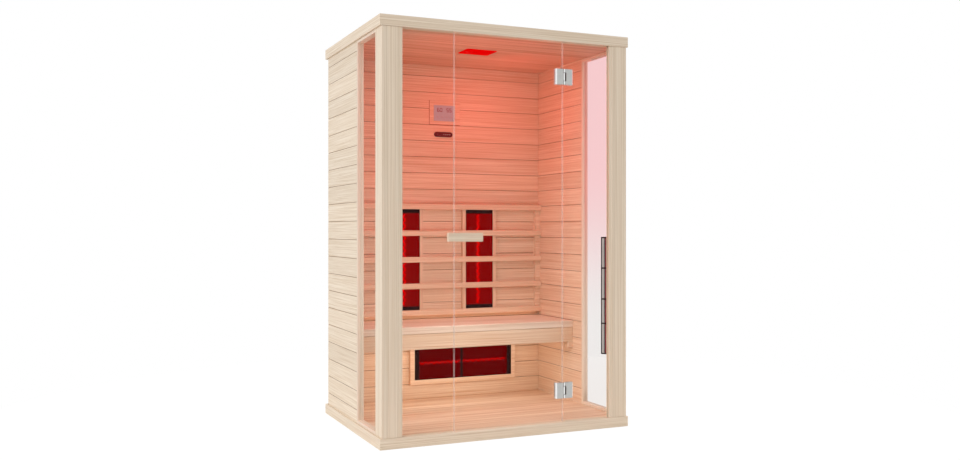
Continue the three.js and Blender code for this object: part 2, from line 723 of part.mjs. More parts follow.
addBase();
addRoof();
addBackWall();
for (const [side, name] of [[-1, 'left'], [1, 'right']]) {
  addSideWall(side, name);
  addPost(side, name);
  addWindow(side, name);
  addBackHeater(side, name);
}
addFrontGlass();
addDoor();
for (const [name, height] of Object.entries(hingeHeights)) {
  addHinge(name, height);
}
addBench();
addBackrest();
addLowerHeater();
addCornerHeater();
addKeypad();
addMediaPlayer();

export default cabin;
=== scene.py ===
import math

import bmesh
import bpy
from mathutils import Matrix, Vector


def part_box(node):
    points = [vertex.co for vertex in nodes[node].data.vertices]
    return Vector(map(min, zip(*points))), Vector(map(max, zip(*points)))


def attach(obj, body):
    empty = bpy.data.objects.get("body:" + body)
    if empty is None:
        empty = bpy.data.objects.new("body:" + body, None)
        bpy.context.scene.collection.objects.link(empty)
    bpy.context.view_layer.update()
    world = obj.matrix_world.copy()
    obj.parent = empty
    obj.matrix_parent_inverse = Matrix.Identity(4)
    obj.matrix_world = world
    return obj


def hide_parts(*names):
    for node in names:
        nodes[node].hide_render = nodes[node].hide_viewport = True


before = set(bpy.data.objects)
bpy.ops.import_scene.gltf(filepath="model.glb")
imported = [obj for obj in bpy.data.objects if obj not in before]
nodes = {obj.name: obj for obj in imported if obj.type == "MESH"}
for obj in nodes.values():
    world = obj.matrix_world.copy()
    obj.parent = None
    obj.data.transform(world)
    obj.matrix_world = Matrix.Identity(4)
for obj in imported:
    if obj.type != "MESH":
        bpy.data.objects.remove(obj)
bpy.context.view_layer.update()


# Helpers for shader nodes

def linear(hexColour):
    channels = [int(hexColour[i:i + 2], 16) / 255 for i in (1, 3, 5)]
    return [c / 12.92 if c <= 0.04045 else ((c + 0.055) / 1.055) ** 2.4 for c in channels] + [1.0]


def addNode(tree, kind, settings=None, links=None):
    node = tree.nodes.new(kind)
    for key, value in (settings or {}).items():
        if isinstance(key, int) or key in node.inputs:
            node.inputs[key].default_value = value
        else:
            setattr(node, key, value)
    for key, source in (links or {}).items():
        tree.links.new(source, node.inputs[key])
    return node


def startMaterial(name):
    material = bpy.data.materials.new(name)
    material.use_nodes = True
    tree = material.node_tree
    tree.nodes.clear()
    return material, tree


def showShader(tree, socket):
    addNode(tree, "ShaderNodeOutputMaterial", links={"Surface": socket})


# Helpers for meshes

def addBar(bm, low, high, ease=0.0, segments=2):
    low, high = Vector(low), Vector(high)
    place = Matrix.Translation((low + high) / 2) @ Matrix.Diagonal((*(high - low), 1))
    corners = bmesh.ops.create_cube(bm, size=1, matrix=place)["verts"]
    edges = list({edge for corner in corners for edge in corner.link_edges})
    if ease:
        bmesh.ops.bevel(bm, geom=edges, offset=ease, offset_type="OFFSET", affect="EDGES",
                        segments=segments, profile=0.5, material=-1)
    return edges


def addDisc(bm, place, radius, height, ease, sides):  # a low round button with its axis along Y
    turn = Matrix.Translation(place) @ Matrix.Rotation(math.pi / 2, 4, "X")
    made = bmesh.ops.create_cone(bm, cap_ends=True, segments=sides, radius1=radius, radius2=radius,
                                 depth=height, matrix=turn)["verts"]
    rims = {edge for vert in made for edge in vert.link_edges if len(edge.link_faces) == 2
            and any(len(face.verts) > 4 for face in edge.link_faces)}
    bmesh.ops.bevel(bm, geom=list(rims), offset=ease, offset_type="OFFSET", affect="EDGES",
                    segments=2, profile=0.5, material=-1)


def paintNew(bm, before, index):  # the faces made since then take one of the piece's materials
    for face in set(bm.faces) - before:
        face.material_index = index


def makePiece(name, bm, material, body, slot, *replaced):
    bmesh.ops.recalc_face_normals(bm, faces=bm.faces)
    mesh = bpy.data.meshes.new(name)
    bm.to_mesh(mesh)
    bm.free()
    for layer in material if isinstance(material, list) else [material]:
        mesh.materials.append(layer)
    piece = bpy.data.objects.new(name, mesh)
    bpy.context.scene.collection.objects.link(piece)
    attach(piece, body)
    if replaced:
        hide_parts(*replaced)


easing = {
    "weld": 0.00001,  # corners nearer than this are one
    "flat": 1,  # degrees within which triangles make one face
    "sharp": 50,  # degrees past which an edge is broken
}


def easeEdges(names, width, segments=2, wholeFaces=True):
    for name in names:
        weld = nodes[name].modifiers.new("joined", "WELD")
        weld.merge_threshold = easing["weld"]
        if wholeFaces:
            flat = nodes[name].modifiers.new("wholeFaces", "DECIMATE")
            flat.decimate_type = "DISSOLVE"
            flat.angle_limit = math.radians(easing["flat"])
        bevel = nodes[name].modifiers.new("easedEdges", "BEVEL")
        bevel.width = width
        bevel.segments = segments
        bevel.limit_method = "ANGLE"
        bevel.angle_limit = math.radians(easing["sharp"])
        slivers = nodes[name].modifiers.new("noSlivers", "WELD")
        slivers.merge_threshold = easing["weld"]


# Camera at the photograph's place, held level

view = {
    "eye": (-1.9452, -4.4937, 0.9838),
    "yaw": 23.93,  # degrees from +Y towards +X
    "lens": 35.325, "sensor": 36,  # millimetres
    "farthest": 100,
}

cameraData = bpy.data.cameras.new("photoCamera")
cameraData.lens = view["lens"]
cameraData.sensor_width = view["sensor"]
cameraData.clip_end = view["farthest"]
camera = bpy.data.objects.new("photoCamera", cameraData)
camera.location = view["eye"]
camera.rotation_euler = (math.pi / 2, 0, -math.radians(view["yaw"]))
bpy.context.scene.collection.objects.link(camera)
bpy.context.scene.camera = camera
bpy.context.scene.view_settings.view_transform = "Standard"

# Studio: white surroundings and a pale floor that keeps the shadow

studio = {
    "sky": 0.5,  # light that reaches the object from all round
    "surround": 1.0,  # white that is looked at or mirrored
    "floorTone": "#f2f0ec", "floorRadius": 2.6, "floorSides": 96, "floorDrop": 0.0005,
    "floorLift": 0.82,  # share of plain white where the floor is looked at
    "floorWhite": 1.09,
    "aim": (0, 0, 0.7),
}

# Softboxes round the cabin: place, size, power in watts, tint
softboxes = {
    "high": ((-2.4, -4.8, 8.3), 4.0, 114, "#ffffff"),
    "low": ((-0.8, -8.2, 1.8), 4.0, 8, "#ffffff"),
    "left": ((-8.0, -2.5, 3.5), 5.0, 375, "#eef5ff"),
    "right": ((8.0, -3.0, 3.0), 5.0, 90, "#ffffff"),
    "back": ((5.0, 7.5, 4.5), 5.0, 330, "#ffffff"),
}

# Lamps inside the room: place, target, size across and along, power in watts, tint
roomLamps = {
    "ceilingGlow": ((0.007, -0.062, 1.89), (0.007, -0.062, 0), (0.165, 0.126), 1.6, "#ff0000"),
    "redPanel": ((-0.08, -0.43, 1.4), (0.1, 1.0, 1.42), (0.7, 0.9), 1.95, "#ff1408"),
    "cornerFill": ((0.2, 0.0, 1.65), (0.6, 0.42, 1.87), (0.3, 0.25), 0.5, "#ff7a76"),
    "topLeftFill": ((-0.1, -0.2, 1.5), (-0.5, 0.3, 1.9), (0.3, 0.2), 0.15, "#ffe0d0"),
    "leftFill": ((-0.3, -0.3, 1.0), (-0.5, 0.42, 0.85), (0.2, 0.6), 0.21, "#ffffff"),
    "roomFill": ((-0.07, -0.40, 0.82), (-0.02, 0.1, 0.35), (0.58, 0.1), 1.4, "#ffffff"),
    "slotFill": ((0, 0.375, 0.501), (0, 0.42, 0.501), (1.15, 0.016), 0.075, "#ffd0ab"),
    "seatFill": ((0, 0.26, 0.62), (0, 0.29, 0.49), (1.1, 0.05), 0.12, "#f4fff8"),
    "footFill": ((0, 0.045, 0.27), (0, 0.4, 0.36), (0.9, 0.2), 1.3, "#fff2e6"),
    "floorFill": ((0, -0.02, 0.36), (0, -0.02, 0), (1.1, 0.78), 0.4, "#ffffff"),
    "rightReveal": ((0.638, -0.135, 1.0), (0.638, 0, 1.0), (0.022, 1.8), 0.14, "#ffffff"),
}


def seenDirectly(tree):  # 1 where the eye looks, also in a mirror or through glass
    path = addNode(tree, "ShaderNodeLightPath")
    either = addNode(tree, "ShaderNodeMath", {"operation": "MAXIMUM"},
                     {0: path.outputs["Is Camera Ray"], 1: path.outputs["Is Glossy Ray"]})
    return addNode(tree, "ShaderNodeMath", {"operation": "MAXIMUM"},
                   {0: either.outputs[0], 1: path.outputs["Is Transmission Ray"]}).outputs[0]


def addSoftbox(name, place, target, size, power, tint):
    light = bpy.data.lights.new(name, "AREA")
    light.energy = power
    light.shape = "RECTANGLE"
    light.size, light.size_y = size
    light.color = linear(tint)[:3]
    lamp = bpy.data.objects.new(name, light)
    lamp.location = place
    lamp.rotation_euler = (Vector(target) - lamp.location).to_track_quat("-Z", "Y").to_euler()
    lamp.visible_camera = False
    lamp.visible_glossy = False
    lamp.visible_transmission = False
    bpy.context.scene.collection.objects.link(lamp)


def makeSky():
    world = bpy.data.worlds.new("studioSky")
    bpy.context.scene.world = world
    world.use_nodes = True
    tree = world.node_tree
    tree.nodes.clear()
    white = linear("#ffffff")
    light = addNode(tree, "ShaderNodeBackground", {"Color": white, "Strength": studio["sky"]})
    seen = addNode(tree, "ShaderNodeBackground", {"Color": white, "Strength": studio["surround"]})
    mix = addNode(tree, "ShaderNodeMixShader",
                  links={0: seenDirectly(tree), 1: light.outputs[0], 2: seen.outputs[0]})
    addNode(tree, "ShaderNodeOutputWorld", links={"Surface": mix.outputs[0]})


def makeFloor():  # matt paint: nearly white where it is looked at, with a soft shadow
    material, tree = startMaterial("paintedStudioFloor")
    paint = addNode(tree, "ShaderNodeBsdfDiffuse", {"Color": linear(studio["floorTone"])})
    lift = addNode(tree, "ShaderNodeEmission",
                   {"Color": linear("#ffffff"), "Strength": studio["floorWhite"]})
    share = addNode(tree, "ShaderNodeMath", {"operation": "MULTIPLY", 1: studio["floorLift"]},
                    {0: seenDirectly(tree)})
    mix = addNode(tree, "ShaderNodeMixShader",
                  links={0: share.outputs[0], 1: paint.outputs[0], 2: lift.outputs[0]})
    showShader(tree, mix.outputs[0])

    bm = bmesh.new()
    bmesh.ops.create_circle(bm, cap_ends=True, segments=studio["floorSides"], radius=studio["floorRadius"])
    bmesh.ops.translate(bm, vec=(0, 0, -studio["floorDrop"]), verts=bm.verts)
    mesh = bpy.data.meshes.new("studioFloor")
    bm.to_mesh(mesh)
    bm.free()
    mesh.materials.append(material)
    floor = bpy.data.objects.new("studioFloor", mesh)
    bpy.context.scene.collection.objects.link(floor)


makeSky()
makeFloor()
for side, (place, size, power, tint) in softboxes.items():
    addSoftbox(side + "Softbox", place, studio["aim"], (size, size), power, tint)
for name, (place, target, size, power, tint) in roomLamps.items():
    addSoftbox(name, place, target, size, power, tint)
print("studio ready")


# Wood: planed hemlock, fine straight grain in long streaks, each board with its own tone

def turnAtMitre(tree, axes, ring):  # the grain turns where two rails of a ring meet
    edges = []
    for axis, half in (("X", ring["halfWidth"]), ("Y", ring["halfDepth"])):
        size = addNode(tree, "ShaderNodeMath", {"operation": "ABSOLUTE"}, {0: axes[axis]})
        edges.append(addNode(tree, "ShaderNodeMath", {"operation": "SUBTRACT", 0: half},
                             {1: size.outputs[0]}).outputs[0])
    reach = addNode(tree, "ShaderNodeMath", {"operation": "MINIMUM", 1: ring["rail"]}, {0: edges[1]})
    turned = addNode(tree, "ShaderNodeMath", {"operation": "LESS_THAN"},
                     {0: edges[0], 1: reach.outputs[0]}).outputs[0]
    run = addNode(tree, "ShaderNodeMix", links={0: turned, 2: axes["X"], 3: axes["Y"]}).outputs[0]
    deep = addNode(tree, "ShaderNodeMix", links={0: turned, 2: axes["Y"], 3: axes["X"]}).outputs[0]
    return run, deep


def countBoards(tree, side, boards, seed):  # a chance for each board, and how near its joint a point lies
    offset = addNode(tree, "ShaderNodeMath", {"operation": "SUBTRACT", 1: boards["first"]}, {0: side})
    count = addNode(tree, "ShaderNodeMath", {"operation": "DIVIDE", 1: boards["pitch"]},
                    {0: offset.outputs[0]})
    board = addNode(tree, "ShaderNodeMath", {"operation": "FLOOR"}, {0: count.outputs[0]})
    turn = addNode(tree, "ShaderNodeMath", {"operation": "ADD", 1: seed + 0.5}, {0: board.outputs[0]})
    chance = addNode(tree, "ShaderNodeTexWhiteNoise", {"noise_dimensions": "1D"}, {"W": turn.outputs[0]})
    part = addNode(tree, "ShaderNodeMath", {"operation": "FRACT"}, {0: count.outputs[0]})
    fromMiddle = addNode(tree, "ShaderNodeMath", {"operation": "SUBTRACT", 1: 0.5}, {0: part.outputs[0]})
    apart = addNode(tree, "ShaderNodeMath", {"operation": "ABSOLUTE"}, {0: fromMiddle.outputs[0]})
    toJoint = addNode(tree, "ShaderNodeMath", {"operation": "SUBTRACT", 0: 0.5}, {1: apart.outputs[0]})
    return chance.outputs["Value"], toJoint.outputs[0]


def toneBoards(tree, look, boards, wood, chance, toJoint, deep):
    spread = look["boardSpread"]
    tone = addNode(tree, "ShaderNodeMapRange", {"To Min": 1 - spread, "To Max": 1 + spread},
                   {"Value": chance}).outputs[0]
    tint = addNode(tree, "ShaderNodeCombineColor", links={0: tone, 1: tone, 2: tone})
    wood = addNode(tree, "ShaderNodeMix", {"data_type": "RGBA", "blend_type": "MULTIPLY", 0: 1.0},
                   {6: wood, 7: tint.outputs[0]}).outputs[2]
    near = look["jointWidth"] / 2000 / boards["pitch"]  # half a joint, as a share of a board
    line = addNode(tree, "ShaderNodeMapRange",
                   {"interpolation_type": "SMOOTHSTEP", "From Min": near * look["jointCore"],
                    "From Max": near, "To Min": look["jointShare"], "To Max": 0.0},
                   {"Value": toJoint}).outputs[0]
    if "plane" in boards:  # pieces that stand proud of the boards have no joints
        level = addNode(tree, "ShaderNodeMath", {"operation": "GREATER_THAN", 1: boards["plane"]}, {0: deep})
        line = addNode(tree, "ShaderNodeMath", {"operation": "MULTIPLY"},
                       {0: line, 1: level.outputs[0]}).outputs[0]
    return addNode(tree, "ShaderNodeMix", {"data_type": "RGBA", 7: linear(look["joint"])},
                   {0: line, 6: wood}).outputs[2]


def makeWood(name, look, along, across, boards=None, seed=0.0, ring=None):
    material, tree = startMaterial(name)
    through = "XYZ".replace(along, "").replace(across, "")
    place = addNode(tree, "ShaderNodeTexCoord").outputs["Object"]
    axes = addNode(tree, "ShaderNodeSeparateXYZ", links={0: place}).outputs
    run, side, deep = axes[along], axes[across], axes[through]
    if ring:
        run, deep = turnAtMitre(tree, axes, ring)
    shift = None
    if boards:
        chance, toJoint = countBoards(tree, side, boards, seed)
        shift = addNode(tree, "ShaderNodeMath", {"operation": "MULTIPLY", 1: look["boardShift"]},
                        {0: chance}).outputs[0]

    def grain(pattern):
        length, width = look[pattern + "Length"], look[pattern + "Width"]
        lines = []
        for source, size in ((run, length), (side, width), (deep, width)):
            links = {0: source} if shift is None else {0: source, 2: shift}
            lines.append(addNode(tree, "ShaderNodeMath",
                                 {"operation": "MULTIPLY_ADD", 1: 1000 / size, 2: seed}, links).outputs[0])
        spot = addNode(tree, "ShaderNodeCombineXYZ", links=dict(enumerate(lines)))
        settings = {"Scale": 1.0, "Detail": look[pattern + "Detail"], "Roughness": look[pattern + "Break"]}
        return addNode(tree, "ShaderNodeTexNoise", settings, {"Vector": spot.outputs[0]}).outputs["Fac"]

    streaks, bands, fibre = grain("streak"), grain("band"), grain("fibre")
    dark = addNode(tree, "ShaderNodeMapRange", {"From Min": look["streakFrom"], "From Max": look["streakTo"]},
                   {"Value": streaks})
    tones = {"data_type": "RGBA", 6: linear(look["light"]), 7: linear(look["dark"])}
    wood = addNode(tree, "ShaderNodeMix", tones, {0: dark.outputs[0]}).outputs[2]
    warm = addNode(tree, "ShaderNodeMapRange",
                   {"From Min": look["bandFrom"], "From Max": look["bandTo"], "To Max": look["bandShare"]},
                   {"Value": bands})
    wood = addNode(tree, "ShaderNodeMix", {"data_type": "RGBA", 7: linear(look["band"])},
                   {0: warm.outputs[0], 6: wood}).outputs[2]
    if boards:
        wood = toneBoards(tree, look, boards, wood, chance, toJoint, deep)
    rough = addNode(tree, "ShaderNodeMapRange", {"To Min": look["smoothest"], "To Max": look["roughest"]},
                    {"Value": fibre})
    ridges = addNode(tree, "ShaderNodeMath", {"operation": "ADD"}, {0: streaks, 1: fibre})
    bump = addNode(tree, "ShaderNodeBump", {"Strength": look["ridge"], "Distance": look["ridgeDepth"] / 1000},
                   {"Height": ridges.outputs[0]})
    shader = addNode(tree, "ShaderNodeBsdfPrincipled", {"IOR": 1.5, "Specular IOR Level": look["sheen"]},
                     {"Base Color": wood, "Roughness": rough.outputs[0], "Normal": bump.outputs[0]})
    showShader(tree, shader.outputs[0])
    return material


# Lengths, widths and depths in millimetres
paleLook = {
    "light": "#f3e2cc", "dark": "#d6bd9f",
    "streakLength": 420, "streakWidth": 3.2, "streakDetail": 4.0, "streakBreak": 0.62,
    "streakFrom": 0.4, "streakTo": 0.65,  # noise between which the light tone turns to the dark one
    "band": "#e4cfb6", "bandLength": 700, "bandWidth": 40, "bandDetail": 2.0, "bandBreak": 0.5,
    "bandFrom": 0.35, "bandTo": 0.7, "bandShare": 0.5,
    "fibreLength": 60, "fibreWidth": 1.6,  # drawn coarser than real fibres so that they show
    "fibreDetail": 2.0, "fibreBreak": 0.6,
    "joint": "#7d5230", "jointWidth": 2.8, "jointCore": 0.4, "jointShare": 0.85,
    "boardSpread": 0.035, "boardShift": 37.0,  # each board's own tone, and its own stretch of the grain
    "smoothest": 0.5, "roughest": 0.72, "ridge": 0.35, "ridgeDepth": 0.4, "sheen": 0.35,
}
postLook = dict(paleLook, jointWidth=2.0, jointShare=0.1, boardSpread=0.03, streakLength=900, bandLength=1500)
# The linings' copy is paler: painted light that makes up for the shade in the window recesses
liningPaintedLightLook = dict(paleLook, light="#f3dfcb", dark="#e0c7af", band="#ead3bd")
# The room's wood, and its copies below, is the outside's wood tinted warmer: a painted tint of the room's red
# light
roomLook = dict(paleLook, light="#f0d4ba", dark="#d8ae8c", band="#e2bf9f", joint="#6a2a12", boardSpread=0.04,
                streakWidth=5.0, streakLength=500)
# Level panels are seen at a slant, so their streaks are drawn coarser
deckLook = dict(roomLook, light="#f5dac1", dark="#d0a17d", band="#e0bc9c", streakWidth=15, streakLength=1100,
                bandWidth=60)
# The ceiling's copy is darker and redder: painted shade and painted red glow
ceilingPaintedShadeLook = dict(deckLook, light="#ebc0a6", dark="#c0886a", band="#d6a386")
# The seat's copy is paler and less red: painted light on the seat's lit top
seatPaintedLightLook = dict(deckLook, light="#f5e2d1", dark="#d0af94", band="#e2c7b0")
# A dark copy for the ring round the keypad's plate: painted shade
paintedShadeLook = dict(roomLook, light="#b0705a", dark="#9a5a44", band="#a5654e")

# Board layouts in metres
outerBoards = {"pitch": 0.0915, "first": 0.1125}
innerBoards = {"pitch": 0.09, "first": 0.131}
backBoards = dict(innerBoards, plane=0.4175)
postStrips = {"pitch": 0.0165, "first": 0.5585}
railRing = {"halfWidth": 0.65, "halfDepth": 0.475, "rail": 0.06}

# Pale outside: cream boards with dark joints, posts of narrow strips, rails that meet in a mitre
sideBoards = makeWood("planedHemlockSideBoards", paleLook, "Y", "Z", outerBoards, 1.0)
rearBoards = makeWood("planedHemlockRearBoards", paleLook, "X", "Z", outerBoards, 2.0)
postWood = makeWood("gluedHemlockPost", postLook, "Z", "X", postStrips, 3.0)
liningPaintedLightWood = makeWood("planedHemlockLiningPaintedLight", liningPaintedLightLook, "Z", "Y", None, 3.5)
railWood = makeWood("mitredHemlockRail", paleLook, "X", "Z", None, 4.0, railRing)
handleWood = makeWood("planedHemlockHandle", paleLook, "X", "Z", None, 4.6)

# Room: the same wood, warmer and more streaked, its warmth a painted tint of the room's red light; round the
# keypad's plate a darker copy is painted shade
roomSide = makeWood("planedHemlockRoomSide", roomLook, "Y", "Z", innerBoards, 5.0)
roomBack = makeWood("planedHemlockRoomBack", roomLook, "X", "Z", backBoards, 6.0)
roomDeck = makeWood("planedHemlockFloor", deckLook, "X", "Y", None, 7.0)
roomCeilingPaintedShade = makeWood("planedHemlockCeilingPaintedShade", ceilingPaintedShadeLook, "X", "Y", None, 6.6)
seatPaintedLightWood = makeWood("planedHemlockSeatPaintedLight", seatPaintedLightLook, "X", "Y", None, 7.5)
roomRail = makeWood("planedHemlockRoomRail", roomLook, "X", "Z", None, 8.0)
paintedShadeWood = makeWood("planedHemlockShadedEdge", paintedShadeLook, "X", "Z", None, 8.5)
roomStile = makeWood("planedHemlockRoomStile", roomLook, "Z", "X", None, 9.0)

# Toughened glass: clear with a faint reflection that grows at a slant, paler where a ground edge is seen; one
# pane's rose tint above is painted red glow

glazing = {
    "polish": 0.02, "leastGleam": 0.003, "slantPower": 5.0,
    "edgeTone": "#dfe8e2", "edgeShare": 0.03,
    "fadeLow": 0.45, "fadeHigh": 1.35,  # heights between which the painted red glow on a pane fades out
}


def makeGlass(name, face, gleam, tint, lowTint=None):
    material, tree = startMaterial(name)
    facing = addNode(tree, "ShaderNodeLayerWeight", {"Blend": 0.5}).outputs["Facing"]
    slant = addNode(tree, "ShaderNodeMath", {"operation": "POWER", 1: glazing["slantPower"]}, {0: facing})
    share = addNode(tree, "ShaderNodeMath", {"operation": "MULTIPLY_ADD", 1: gleam, 2: glazing["leastGleam"]},
                    {0: slant.outputs[0]})
    clear = addNode(tree, "ShaderNodeBsdfTransparent", {"Color": linear(tint)})
    # A pane with a low tint fades to its upper one: the lamp's red glow painted into the glass
    if lowTint:
        place = addNode(tree, "ShaderNodeTexCoord").outputs["Object"]
        height = addNode(tree, "ShaderNodeSeparateXYZ", links={0: place}).outputs["Z"]
        rise = addNode(tree, "ShaderNodeMapRange",
                       {"interpolation_type": "SMOOTHSTEP", "From Min": glazing["fadeLow"],
                        "From Max": glazing["fadeHigh"]}, {"Value": height})
        fade = addNode(tree, "ShaderNodeMix", {"data_type": "RGBA", 6: linear(lowTint), 7: linear(tint)},
                       {0: rise.outputs[0]})
        tree.links.new(fade.outputs[2], clear.inputs["Color"])
    gloss = addNode(tree, "ShaderNodeBsdfGlossy", {"Roughness": glazing["polish"]})
    pane = addNode(tree, "ShaderNodeMixShader",
                   links={0: share.outputs[0], 1: clear.outputs[0], 2: gloss.outputs[0]})
    normal = addNode(tree, "ShaderNodeNewGeometry").outputs["True Normal"]
    lean = addNode(tree, "ShaderNodeSeparateXYZ", links={0: normal}).outputs[face]
    flat = addNode(tree, "ShaderNodeMath", {"operation": "ABSOLUTE"}, {0: lean})
    edge = addNode(tree, "ShaderNodeMath", {"operation": "LESS_THAN", 1: 0.5}, {0: flat.outputs[0]})
    edgeShare = addNode(tree, "ShaderNodeMath", {"operation": "MULTIPLY", 1: glazing["edgeShare"]},
                        {0: edge.outputs[0]})
    ground = addNode(tree, "ShaderNodeBsdfDiffuse", {"Color": linear(glazing["edgeTone"])})
    mix = addNode(tree, "ShaderNodeMixShader",
                  links={0: edgeShare.outputs[0], 1: pane.outputs[0], 2: ground.outputs[0]})
    showShader(tree, mix.outputs[0])
    return material


frontGlass = makeGlass("toughenedFrontGlass", "Y", 0.25, "#fdfefd")
sideGlass = makeGlass("toughenedSideGlass", "X", 0.08, "#fdfefd")
paintedGlowGlass = makeGlass("sideGlassPaintedRedGlow", "X", 0.08, "#fde5e7", "#f9f6f6")  # painted red glow of the ceiling lamp: rose above, clearing downwards

# Rolled ceramic glass: dark red, glowing over a fine diagonal mesh, clear enough to show the wire behind it

heaterGlass = {
    "meshPitch": 11,  # millimetres between the mesh's points, measured along the diagonal
    "pointSize": 0.15, "gapSize": 0.6, "pointGlow": 1.25, "gapGlow": 0.7,
    "body": "#220102", "roughness": 0.2, "shine": 0.02,
    "through": 0.6, "tint": "#ff6159",  # share and tint of what is seen through it
}


def makeHeaterGlass(name, glow):
    material, tree = startMaterial(name)
    place = addNode(tree, "ShaderNodeTexCoord").outputs["Object"]
    axes = addNode(tree, "ShaderNodeSeparateXYZ", links={0: place}).outputs
    rising = addNode(tree, "ShaderNodeMath", {"operation": "ADD"}, {0: axes["X"], 1: axes["Z"]})
    falling = addNode(tree, "ShaderNodeMath", {"operation": "SUBTRACT"}, {0: axes["X"], 1: axes["Z"]})
    diagonal = addNode(tree, "ShaderNodeCombineXYZ", links={0: rising.outputs[0], 1: falling.outputs[0]})
    scale = 1000 / heaterGlass["meshPitch"] / math.sqrt(2)
    cell = addNode(tree, "ShaderNodeTexVoronoi",
                   {"voronoi_dimensions": "2D", "Scale": scale, "Randomness": 0.0},
                   {"Vector": diagonal.outputs[0]}).outputs["Distance"]
    strength = addNode(tree, "ShaderNodeMapRange",
                       {"From Min": heaterGlass["pointSize"], "From Max": heaterGlass["gapSize"],
                        "To Min": heaterGlass["pointGlow"], "To Max": heaterGlass["gapGlow"]},
                       {"Value": cell})
    body = addNode(tree, "ShaderNodeBsdfPrincipled",
                   {"Base Color": linear(heaterGlass["body"]), "Roughness": heaterGlass["roughness"],
                    "Specular IOR Level": heaterGlass["shine"], "Emission Color": linear(glow)},
                   {"Emission Strength": strength.outputs[0]})
    clear = addNode(tree, "ShaderNodeBsdfTransparent", {"Color": linear(heaterGlass["tint"])})
    mix = addNode(tree, "ShaderNodeMixShader", {0: heaterGlass["through"]},
                  {1: body.outputs[0], 2: clear.outputs[0]})
    showShader(tree, mix.outputs[0])
    return material


backGlow = makeHeaterGlass("rolledCeramicGlassBright", "#9c0202")
lowGlow = makeHeaterGlass("rolledCeramicGlassDim", "#6e0202")

# Metals and plastics: a fine noise breaks up the colour, the gloss and the glow

surface = {"noiseFrom": 0.35, "noiseTo": 0.65, "noiseDetail": 3.0, "glossSpread": 0.15, "glowSpread": 0.08}


def makeSurface(name, colour, other, grainSize, rough, metal=0.0, glow=None, strength=0.0, shine=0.5,
                stretch=(1, 1, 1)):  # grainSize in millimetres
    material, tree = startMaterial(name)
    place = addNode(tree, "ShaderNodeTexCoord").outputs["Object"]
    spot = addNode(tree, "ShaderNodeMapping", {"Scale": [1000 / grainSize * s for s in stretch]},
                   {"Vector": place})
    noise = addNode(tree, "ShaderNodeTexNoise", {"Scale": 1.0, "Detail": surface["noiseDetail"]},
                    {"Vector": spot.outputs[0]})
    share = addNode(tree, "ShaderNodeMapRange",
                    {"From Min": surface["noiseFrom"], "From Max": surface["noiseTo"]},
                    {"Value": noise.outputs["Fac"]}).outputs[0]
    tone = addNode(tree, "ShaderNodeMix", {"data_type": "RGBA", 6: linear(colour), 7: linear(other)},
                   {0: share}).outputs[2]
    spread = surface["glossSpread"]
    gloss = addNode(tree, "ShaderNodeMapRange",
                    {"To Min": rough * (1 - spread), "To Max": rough * (1 + spread)}, {"Value": share})
    links = {"Base Color": tone, "Roughness": gloss.outputs[0]}
    settings = {"Metallic": metal}
    if not metal:
        settings["Specular IOR Level"] = shine
    if glow:
        settings["Emission Color"] = linear(glow)
        spread = surface["glowSpread"]
        level = addNode(tree, "ShaderNodeMapRange",
                        {"To Min": strength * (1 - spread), "To Max": strength * (1 + spread)},
                        {"Value": share})
        links["Emission Strength"] = level.outputs[0]
    shader = addNode(tree, "ShaderNodeBsdfPrincipled", settings, links)
    showShader(tree, shader.outputs[0])
    return material


# Brushed stainless steel: fine lines across the plate and a satin gloss
brushedSteel = makeSurface("brushedSteel", "#b2b3b1", "#c2c2bf", 0.6, 0.34, 1.0, stretch=(0.02, 1, 1))
# Polished stainless steel: near white, a painted highlight on top of the lines where it mirrors the studio
polishedSteelPaintedHighlight = makeSurface("polishedSteelPaintedHighlight", "#f4f4f3", "#e9e9e8", 6, 0.12, 1.0)
# Enamelled sheet steel: matt and nearly black, its red tint painted red light, or maroon or grey with a low
# sheen; the maroon is painted red glow
blackEnamel = makeSurface("blackEnamelledSteel", "#2a0b0d", "#1e080a", 1.2, 0.6, shine=0.1)
maroonEnamel = makeSurface("enamelledSteelPaintedRedGlow", "#8a3a3c", "#7c3032", 1.2, 0.45)
greyEnamel = makeSurface("greyEnamelledSteel", "#b9b3b0", "#aaa5a2", 1.5, 0.42)
# Drawn heating wire: a thin glowing red line, dimmer under the bench
hotWire = makeSurface("drawnHeatingWireBright", "#d81818", "#b01010", 5, 0.5, glow="#ff2418", strength=6.5)
warmWire = makeSurface("drawnHeatingWireDim", "#d81818", "#b01010", 5, 0.5, glow="#ff2418", strength=3.6)
# Frosted acrylic: a flat, even red
redDiffuser = makeSurface("frostedRedAcrylic", "#d80000", "#c80000", 12, 0.8, glow="#d80000", strength=0.35,
                          shine=0.0)
# Moulded rubber: black and dull
blackRubber = makeSurface("mouldedBlackRubber", "#2a2a2a", "#202020", 1.5, 0.7, shine=0.2)
# Cast silicone: pale and soft, with a blush of the room's light
paleSilicone = makeSurface("castSiliconePale", "#e2d0cc", "#d6c3be", 3, 0.55)
# Printed polyester film and moulded ABS: lilac grey under the red light, with a soft sheen
padFilm = makeSurface("printedPolyesterPad", "#bdbec9", "#b2b3bd", 2, 0.4)
keyPlastic = makeSurface("mouldedKeyAbs", "#bbbbc6", "#b0b0ba", 1.5, 0.45)
displayFilm = makeSurface("printedPolyesterDisplay", "#bbbbc6", "#b0b0b9", 3, 0.3)
# Cast epoxy over the lights of the digits: a deep red that barely glows
litDigit = makeSurface("castEpoxySegment", "#5c0c14", "#4c0a10", 2, 0.5, glow="#b01018", strength=0.42)
# Moulded ABS: dark and glossy on the player, its maroon painted red light on nearly black plastic; pale and
# rosy on its buttons and the keys' marks
blackPlastic = makeSurface("mouldedDarkAbsPaintedRedLight", "#722426", "#5e1d1f", 2, 0.3, shine=0.12)
palePlastic = makeSurface("mouldedPaleAbs", "#c9a9a6", "#b99895", 1, 0.4)

